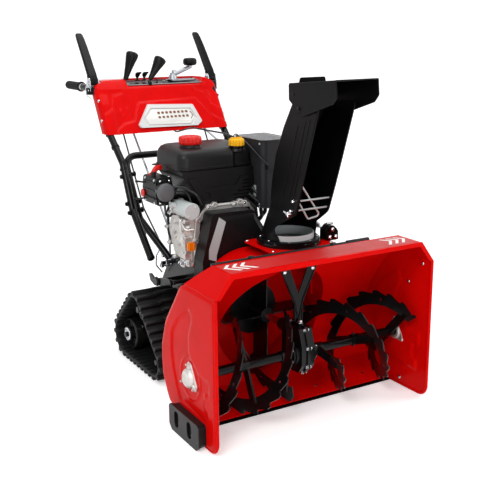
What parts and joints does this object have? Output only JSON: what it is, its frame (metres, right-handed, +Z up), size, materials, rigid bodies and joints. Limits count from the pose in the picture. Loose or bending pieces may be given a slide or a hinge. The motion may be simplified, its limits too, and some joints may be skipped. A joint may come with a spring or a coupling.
{
  "type": "tracked snow blower",
  "caption": "Walk-behind two-stage snow blower on rubber tracks, with a serrated auger, an impeller, a turning chute with a tilting hood, an engine and a control dash.",
  "frame": {"origin": "on the floor under the middle of the whole machine", "axes": "+X to the operator's left, +Y backwards towards the operator, +Z up"},
  "size_m": [0.836, 1.49, 1.1641],
  "materials": {
    "black_gloss": "gloss black powder coat",
    "black_plastic": "moulded, fine texture",
    "black_steel": "satin black powder coat",
    "cast_alloy": "as-cast die-cast alloy",
    "cast_case": "black painted casting",
    "grey_plastic": "moulded, fine texture",
    "grip_rubber": "ribbed soft rubber",
    "lens": "clear moulded lens",
    "orange_plastic": "moulded",
    "red_paint": "gloss powder coat",
    "red_plastic": "moulded, semi-gloss",
    "track_rubber": "moulded rubber, matt",
    "yellow_plastic": "moulded",
    "zinc": "bright zinc plate"
  },
  "bodies": {
    "machine": {"air_box": "black_plastic", "auger_bearing_left": "zinc", "auger_bearing_right": "zinc", "auger_gearbox": "cast_case", "auger_housing": "red_paint", "belt_cover": "black_plastic", "cables": "black_plastic", "chassis": "black_steel", "chute_clamp_ring": "black_steel", "chute_collar": "zinc", "chute_crank": "black_plastic", "chute_drive": "black_steel", "chute_rod": "zinc", "clean_out_tool": "black_plastic", "control_panel": "grey_plastic", "dashboard": "red_plastic", "deflector_lever": "black_plastic", "dipstick": "orange_plastic", "engine_block": "cast_alloy", "engine_shroud": "black_plastic", "fuel_cap": "red_plastic", "fuel_tank": "black_plastic", "gear_lever": "black_plastic", "gearbox_brace": "black_steel", "grip_left": "grip_rubber", "grip_right": "grip_rubber", "guard_grille": "black_steel", "headlight": "lens", "heater_knob": "grey_plastic", "impeller_housing": "red_paint", "lower_handle": "black_steel", "muffler": "black_steel", "muffler_guard": "black_steel", "oil_filler_cap": "yellow_plastic", "recoil_starter": "black_plastic", "scraper_blade": "black_steel", "shift_rod": "zinc", "skid_shoe_left": "black_steel", "skid_shoe_right": "black_steel", "small_levers": "black_plastic", "starter_motor": "zinc", "track_brackets": "black_steel", "track_frame_left": "black_steel", "track_frame_right": "black_steel", "track_left": "track_rubber", "track_right": "track_rubber", "track_wheels_left": "black_plastic", "track_wheels_right": "black_plastic", "upper_handle_left": "black_steel", "upper_handle_right": "black_steel"},
    "auger": {"auger_shaft": "black_steel", "auger_flight_left": "black_steel", "auger_flight_right": "black_steel"},
    "impeller_rotor": {"impeller": "black_steel", "impeller_shaft": "zinc"},
    "chute_body": {"chute": "black_gloss", "chute_guard": "zinc"},
    "hood": {"deflector": "black_gloss"},
    "left_lever": {"clutch_lever_left": "black_plastic"},
    "right_lever": {"clutch_lever_right": "black_plastic"}
  },
  "joints": [
    {"name": "auger_spin", "type": "hinge", "parent": "machine", "child": "auger", "pos_m": [0, -0.584, 0.189], "axis": [1, 0, 0], "continuous": true},
    {"name": "impeller_spin", "type": "hinge", "parent": "machine", "child": "impeller_rotor", "pos_m": [0, -0.345, 0.252], "axis": [0, 1, 0], "continuous": true},
    {"name": "chute_turn", "type": "hinge", "parent": "machine", "child": "chute_body", "pos_m": [0.11, -0.345, 0.5], "axis": [0, 0, 1], "range_deg": [-95, 95]},
    {"name": "hood_tilt", "type": "hinge", "parent": "chute_body", "child": "hood", "pos_m": [0.11, -0.513, 0.944], "axis": [1, 0, 0], "range_deg": [0, 35]},
    {"name": "left_lever_squeeze", "type": "hinge", "parent": "machine", "child": "left_lever", "pos_m": [0.255, 0.461, 0.992], "axis": [-1, 0, 0], "range_deg": [0, 42], "stiffness_Nm_per_rad": 0.6, "springref_deg": -20.05},
    {"name": "right_lever_squeeze", "type": "hinge", "parent": "machine", "child": "right_lever", "pos_m": [-0.255, 0.461, 0.992], "axis": [-1, 0, 0], "range_deg": [0, 42], "stiffness_Nm_per_rad": 0.6, "springref_deg": -20.05}
  ],
  "couplings": [
    {"joint": "impeller_spin", "follows": "auger_spin", "ratio": 10}
  ]
}
